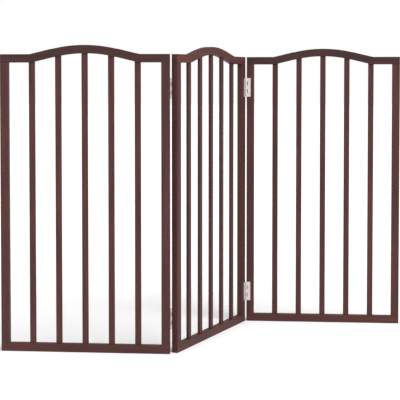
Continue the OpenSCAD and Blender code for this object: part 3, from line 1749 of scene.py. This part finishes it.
@dataclass(frozen=True)
class TimberPanel:
    """One panel's rails, stiles and slats."""

    panel: Panel
    sizes: GateSizes
    hinge: HingeSizes
    trees: Trees
    finishes: Finishes
    end_ease: float = 0.6 * MM
    seam_ease: float = 0.25 * MM
    arch_steps: int = 181
    first_seed: float = 3.0
    panel_seed_step: float = 5.0
    bottom_rail_seed: float = 0.9
    stile_seed: float = 1.7
    stile_seed_step: float = 0.8
    slat_seed: float = 2.9
    # A place in metres where the pilot holes' cutters miss the bar.
    off_the_bar: float = 1.0
    # So many pitches that a rail or stile counts as one bar.
    lone_bar_pitches: float = 100.0

    def build(self) -> None:
        """Makes every timber piece of the panel."""
        self.top_rail()
        self.bottom_rail()
        for side in Side:
            self.stile(side)
        self.slats()

    @property
    def seed(self) -> float:
        """Where in the board the panel's first bar is cut from."""
        return self.first_seed + self.panel_seed_step * list(Panel).index(self.panel)

    @property
    def tones_and_light(self) -> "BarToneAndPaintedLight":
        """How bright each bar of the panel is: its own stain tone, with painted light and shade."""
        return PANEL_TONE_AND_PAINTED_LIGHT[self.panel]

    def joinery_inputs(self) -> dict[str, float]:
        """Inputs of the joinery tree, with pilot holes for the edge that is hinged.

        Returns:
            A value for each input.
        """
        sizes, hinge = self.sizes, self.hinge
        screw_face = sizes.pin_y + hinge.leaf_face
        return (
            sizes.arch_inputs()
            | sizes.slat_inputs()
            | {
                "Glue_gap": sizes.glue_gap,
                "Stile_x": sizes.stile_x,
                "Dowel_radius": sizes.dowel_radius,
                "Dowel_length": sizes.dowel_length,
                "Dowel_foot": sizes.dowel_foot,
                "Pilot_x": sizes.pin_x - hinge.screw_x,
                "Pilot_y": screw_face - hinge.screw_length / 2,
                "Pilot_depth": hinge.screw_length,
                "Pilot_radius": hinge.shank_radius + hinge.screw_gap,
                "Pilot_spread": hinge.screw_spread,
                "Upper_z": hinge.inset[Level.UPPER],
                "Lower_z": hinge.inset[Level.LOWER],
            }
        )

    def pilot_faces(self, side: Side) -> int:
        """Face that the hinge on a side lies on: 1 back, -1 front, 0 none.

        Args:
            side: The panel's side.

        Returns:
            The face.
        """
        if self.panel is Panel.CENTRE:
            return -side.value
        hinged = Side.RIGHT if self.panel is Panel.LEFT else Side.LEFT
        return side.value if side is hinged else 0

    def joined_and_grained(
        self, piece: Workpiece, run: Run, seed: float, tone: float, side: Side | None = None
    ) -> Workpiece:
        """Cuts a bar's joints and lays its grain.

        Args:
            piece: The bar on the bench.
            run: Which way it runs.
            seed: Where in the board it is cut from.
            tone: Its brightness factor: its own stain tone, with painted light and shade.
            side: The stile's side, or none for a rail, which has no pilot holes.

        Returns:
            The bar.
        """
        inputs = self.joinery_inputs()
        face = self.pilot_faces(side) if side else 0
        if face:
            inputs["Pilot_x"] *= side.value
            inputs["Pilot_y"] *= face
        else:
            inputs["Pilot_x"] = inputs["Pilot_y"] = self.off_the_bar
        timber = self.finishes.frame_timber
        piece.shape(self.trees.joinery, timber, **inputs)
        return piece.shape(
            self.trees.grain,
            timber,
            Upright=float(run.value),
            Seed=seed,
            Tone=tone,
            Slat_pitch=self.sizes.slat_pitch * self.lone_bar_pitches,
        )

    def finish(self, piece: Workpiece, *nodes: str) -> None:
        """Takes a frame piece off the bench and hands it over."""
        made = piece.take_off(self.sizes.place(self.panel))
        hand_over(made, self.panel.body, "painted_frame", *nodes)

    def top_rail(self) -> None:
        """Arched rail over the whole width."""
        sizes = self.sizes
        name = f"{self.panel.value}_top_rail"
        piece = Workpiece(name + "_piece").shape(
            self.trees.arched_rail,
            self.finishes.frame_timber,
            Rail_height=sizes.rail_height,
            Thickness=sizes.thickness,
            Edge_radius=sizes.edge_radius,
            Steps=self.arch_steps,
            **sizes.arch_inputs(),
        )
        piece.ease(self.end_ease)
        # Brightness factor of the top rail, which holds painted light and shade as well as its tone.
        tone = self.tones_and_light.top_rail
        self.finish(self.joined_and_grained(piece, Run.LEVEL, self.seed, tone), name)

    def bottom_rail(self) -> None:
        """Straight rail over the whole width."""
        sizes = self.sizes
        name = f"{self.panel.value}_bottom_rail"
        middle = sizes.rail_height / 2
        piece = Workpiece(name + "_piece").shape(
            self.trees.straight_bar,
            self.finishes.frame_timber,
            Start=Vector((-sizes.half_width, 0, middle)),
            End=Vector((sizes.half_width, 0, middle)),
            Width=sizes.thickness,
            Height=sizes.rail_height,
            Edge_radius=sizes.edge_radius,
        )
        piece.ease(self.end_ease)
        seed, tone = self.seed + self.bottom_rail_seed, self.tones_and_light.bottom_rail
        self.finish(self.joined_and_grained(piece, Run.LEVEL, seed, tone), name)

    def stile(self, side: Side) -> None:
        """Upright between the rails at one end.

        Args:
            side: The end.
        """
        sizes = self.sizes
        name = f"{self.panel.value}_panel_{side.name.lower()}_stile"
        x = side.value * sizes.stile_x
        piece = Workpiece(name + "_piece").shape(
            self.trees.straight_bar,
            self.finishes.frame_timber,
            Start=Vector((x, 0, sizes.rail_height)),
            End=Vector((x, 0, sizes.shoulder - sizes.rail_height)),
            Width=sizes.stile_width,
            Height=sizes.thickness,
            Edge_radius=sizes.edge_radius,
        )
        piece.ease(self.seam_ease, 1)
        seed = self.seed + self.stile_seed + self.stile_seed_step * side.value
        self.finish(self.joined_and_grained(piece, Run.UPRIGHT, seed, self.tones_and_light.stile, side), name)

    def slats(self) -> None:
        """Row of slats between the stiles."""
        sizes, timber = self.sizes, self.finishes.slat_timber
        piece = Workpiece(f"{self.panel.value}_slats").shape(
            self.trees.slat_row,
            timber,
            Edge_radius=sizes.slat_edge_radius,
            **sizes.arch_inputs(),
            **sizes.slat_inputs(),
        )
        piece.shape(
            self.trees.grain,
            timber,
            Upright=1.0,
            Seed=self.seed + self.slat_seed,
            Tone=self.tones_and_light.slat,
            Slat_pitch=sizes.slat_pitch,
        )
        nodes = [f"{self.panel.value}_slat_{k + 1}" for k in range(sizes.slat_count)]
        made = piece.take_off(sizes.place(self.panel))
        hand_over(made, self.panel.body, "painted_slats", *nodes)


@dataclass(frozen=True)
class FastenerSet:
    """Fasteners of one kind in one body: their places, and the nodes that they stand for."""

    name: str
    body: str
    slot: str
    places: list[Matrix]
    nodes: list[str]

    def build(self, one: bpy.types.Mesh, tree: ShapeTree, finish: bpy.types.Material) -> None:
        """Sets the fasteners out.

        Args:
            one: A fastener about its own origin.
            tree: The tree that puts one on each point.
            finish: Their material.
        """
        points = bpy.data.meshes.new(self.name)
        points.from_pydata([place.to_translation() for place in self.places], [], [])
        turns = points.attributes.new(TURN, "FLOAT_VECTOR", "POINT")
        for entry, place in zip(turns.data, self.places):
            entry.vector = place.to_euler()
        sample = bpy.data.objects.new(self.name + "_sample", one)
        bpy.context.scene.collection.objects.link(sample)
        made = (
            Workpiece(self.name, points).shape(tree, finish, Fastener=sample).take_off(Matrix.Identity(4))
        )
        bpy.data.objects.remove(sample)
        hand_over(made, self.body, self.slot, *self.nodes)


@dataclass(frozen=True)
class CornerDowels:
    """The dowels that pin a panel's rails to its stiles."""

    panel: Panel
    sizes: GateSizes
    trees: Trees
    finishes: Finishes
    flute_depth: float = 0.12 * MM
    flutes: int = 12
    chamfer: float = 0.8 * MM
    sides: int = 48

    def build(self) -> None:
        """Turns a fluted dowel and sets four out."""
        sizes = self.sizes
        half = sizes.dowel_length / 2
        radius = sizes.dowel_radius
        mesh = Lathe(self.sides).turn(
            "dowel",
            [
                (radius - self.chamfer, half),
                (radius, half - self.chamfer),
                (radius, self.chamfer - half),
                (radius - self.chamfer, -half),
            ],
        )
        for vertex in mesh.vertices:
            x, y, z = vertex.co
            flute = 0.5 - 0.5 * math.cos(self.flutes * math.atan2(y, x))
            scale = 1 - self.flute_depth * flute / math.hypot(x, y)
            vertex.co = (x * scale, y * scale, z)
        low = sizes.dowel_foot + half
        here = sizes.place(self.panel)
        places = [
            here @ Matrix.Translation((side.value * sizes.stile_x, 0, z))
            for side in Side
            for z in (low, sizes.shoulder - low)
        ]
        name = f"{self.panel.value}_corner_dowels"
        dowels = FastenerSet(name + "_piece", self.panel.body, "dowel_wood", places, [name])
        dowels.build(mesh, self.trees.fasteners, self.finishes.dowel_timber)


@dataclass(frozen=True)
class ButtHinge:
    """One hinge: the wing's leaf, the centre panel's leaf, and the pin."""

    wing: Panel
    level: Level
    sizes: GateSizes
    hinge: HingeSizes
    trees: Trees
    finishes: Finishes
    ease: float = 0.12 * MM
    ease_above: float = 30.0
    dome: float = 0.35 * MM
    dome_start: int = 80
    dome_step: int = 16
    dome_rings: int = 6
    pin_sides: int = 28

    def place(self, panel: Panel) -> Matrix:
        """Where the leaf on a panel lies: pin on Z, leaf to +X, wood below -Y.

        Args:
            panel: The panel.

        Returns:
            The leaf's place at rest.
        """
        on_wing = panel is not Panel.CENTRE
        side = 1 if (self.wing is Panel.LEFT) == on_wing else -1
        face = 1 if self.wing is Panel.LEFT else -1
        sizes = self.sizes
        spot = (side * sizes.pin_x, face * sizes.pin_y, self.hinge.inset[self.level])
        turn = Matrix.Rotation(0 if face > 0 else HALF_TURN, 4, "X")
        flip = Matrix.Rotation(HALF_TURN if side > 0 else 0, 4, "Y")
        return sizes.place(panel) @ Matrix.Translation(spot) @ turn @ flip

    @property
    def stem(self) -> str:
        """What the hinge's nodes start with."""
        return f"{self.wing.value}_{self.level.value}_hinge"

    def build(self) -> None:
        """Makes both leaves and the pin."""
        self.leaf(self.wing, f"{self.stem}_wing_leaf", first=0, own=3)
        self.leaf(Panel.CENTRE, f"{self.stem}_centre_leaf", first=1, own=2)
        self.pin()

    def leaf(self, panel: Panel, node: str, first: int, own: int) -> None:
        """One leaf.

        Args:
            panel: The panel that it is screwed to.
            node: The node that it stands for.
            first: How many knuckles come below its lowest one.
            own: How many knuckles it has.
        """
        metal = self.finishes.hinge_metal
        piece = Workpiece(node + "_piece", LeafBlank(self.hinge, first, own).mesh()).shape(
            self.trees.countersinks, metal, **self.hinge.hole_inputs()
        )
        piece.ease(self.ease, above=self.ease_above).shape(self.trees.soften, metal)
        hand_over(piece.take_off(self.place(panel)), panel.body, "hinge_metal", node)

    def pin(self) -> None:
        """The pin, with domed ends."""
        half, radius = self.hinge.height / 2, self.hinge.pin_radius
        angles = [math.radians(self.dome_start - self.dome_step * k) for k in range(self.dome_rings)]
        rounding = [
            (radius * math.cos(angle), half - self.dome * (1 - math.sin(angle))) for angle in angles
        ]
        outline = rounding + [(r, -z) for r, z in reversed(rounding)]
        mesh = Lathe(self.pin_sides).turn(f"{self.stem}_pin", outline)
        node = f"{self.stem}_pin"
        piece = Workpiece(node + "_piece", mesh).shape(self.trees.soften, self.finishes.pin_metal)
        hand_over(piece.take_off(self.place(self.wing)), self.wing.body, "pin_steel", node)

    def screw_places(self, panel: Panel) -> list[Matrix]:
        """Where the two screws of the leaf on a panel go, heads outward.

        Args:
            panel: The panel.

        Returns:
            The screws' places.
        """
        hinge = self.hinge
        return [
            self.place(panel)
            @ Matrix.Translation((hinge.screw_x, hinge.leaf_face, side * hinge.screw_spread / 2))
            @ Matrix.Rotation(-QUARTER_TURN, 4, "X")
            for side in (-1, 1)
        ]


@dataclass(frozen=True)
class Studio:
    """Floor, lights and camera."""

    floor_size: float = 60.0
    camera_place: tuple[float, float, float] = (0.2345, -3.197, 0.7208)
    camera_turn: float = math.radians(4.835)
    camera_tilt: float = math.radians(2.212)
    lens: float = 103.2
    shift_x: float = 0.0049
    shift_y: float = -0.19
    key_strength: float = 3.3
    fill_strength: float = 0.6
    sky_light: float = 0.64

    def build(self) -> None:
        """Sets the studio up."""
        self.floor()
        self.sky()
        self.sun("key", self.key_strength, azimuth=48, height=38, spread=50)
        self.sun("fill", self.fill_strength, azimuth=-35, height=25, spread=70)
        self.camera()
        bpy.context.scene.view_settings.view_transform = "Standard"

    def floor(self) -> None:
        """Plain pale floor at the gate's foot."""
        half = self.floor_size / 2
        mesh = bpy.data.meshes.new("floor")
        mesh.from_pydata(
            [(-half, -half, 0), (half, -half, 0), (half, half, 0), (-half, half, 0)], [], [(0, 1, 2, 3)]
        )
        mesh.materials.append(PaleFloor("studio_paper").make())
        floor = bpy.data.objects.new("floor", mesh)
        bpy.context.scene.collection.objects.link(floor)

    def sky(self) -> None:
        """Even light from all round, with a white backdrop behind it."""
        world = bpy.data.worlds.new("studio")
        world.use_nodes = True
        world.node_tree.nodes.clear()
        kit = TreeKit(world.node_tree)
        seen = kit.node("ShaderNodeLightPath").outputs["Is Camera Ray"]
        glow = kit.node("ShaderNodeBackground", None, {"Color": (1, 1, 1, 1), "Strength": self.sky_light})
        backdrop = kit.node("ShaderNodeBackground", None, {"Color": (1, 1, 1, 1), "Strength": 1.0})
        mix = kit.node(
            "ShaderNodeMixShader", None, {0: seen, 1: glow.outputs[0], 2: backdrop.outputs[0]}
        )
        kit.node("ShaderNodeOutputWorld", None, {"Surface": mix.outputs[0]})
        bpy.context.scene.world = world

    def sun(self, name: str, strength: float, azimuth: float, height: float, spread: float) -> None:
        """A large soft light, far off.

        Args:
            name: Its name.
            strength: Its strength.
            azimuth: Degrees to the right of straight in front.
            height: Degrees above the horizon.
            spread: How wide it looks, in degrees.
        """
        lamp = bpy.data.lights.new(name, "SUN")
        lamp.energy = strength
        lamp.angle = math.radians(spread)
        item = bpy.data.objects.new(name, lamp)
        a, h = math.radians(azimuth), math.radians(height)
        towards = Vector((math.sin(a) * math.cos(h), -math.cos(a) * math.cos(h), math.sin(h)))
        item.rotation_euler = towards.to_track_quat("Z", "Y").to_euler()
        bpy.context.scene.collection.objects.link(item)

    def camera(self) -> None:
        """Camera at eye level with the shoulders, which looks a little left."""
        lens = bpy.data.cameras.new("camera")
        lens.lens = self.lens
        lens.shift_x, lens.shift_y = self.shift_x, self.shift_y
        item = bpy.data.objects.new("camera", lens)
        item.location = self.camera_place
        item.rotation_euler = (QUARTER_TURN - self.camera_tilt, 0.0, self.camera_turn)
        bpy.context.scene.collection.objects.link(item)
        bpy.context.scene.camera = item


# ---------------------------------------------------------------- the gate


def screw_sets(hinges: list[ButtHinge]) -> list[FastenerSet]:
    """Groups the hinges' screws by the body that holds them.

    Args:
        hinges: All four hinges.

    Returns:
        One set for each panel.
    """
    sets = []
    for panel in Panel:
        places, nodes = [], []
        for hinge in hinges:
            if panel in (hinge.wing, Panel.CENTRE):
                places += hinge.screw_places(panel)
                part = "centre_screws" if panel is Panel.CENTRE else "wing_screws"
                nodes.append(f"{hinge.wing.value}_{hinge.level.value}_{part}")
        sets.append(FastenerSet(f"{panel.value}_hinge_screws", panel.body, "screw_steel", places, nodes))
    return sets


def main() -> None:
    """Builds the gate and its studio, and reports each piece."""
    logging.basicConfig(level=logging.INFO, format="%(name)s: %(message)s")
    sizes, hinge = GateSizes.from_frame(), HingeSizes.from_frame()
    trees, finishes = Trees.make(), Finishes.make()
    Studio().build()
    for panel in Panel:
        TimberPanel(panel, sizes, hinge, trees, finishes).build()
        CornerDowels(panel, sizes, trees, finishes).build()
    hinges = [
        ButtHinge(wing, level, sizes, hinge, trees, finishes)
        for wing in (Panel.LEFT, Panel.RIGHT)
        for level in Level
    ]
    for one in hinges:
        one.build()
    screw = WoodScrew(hinge).mesh()
    for group in screw_sets(hinges):
        group.build(screw, trees.fasteners, finishes.screw_metal)


if __name__ == "__main__":
    main()
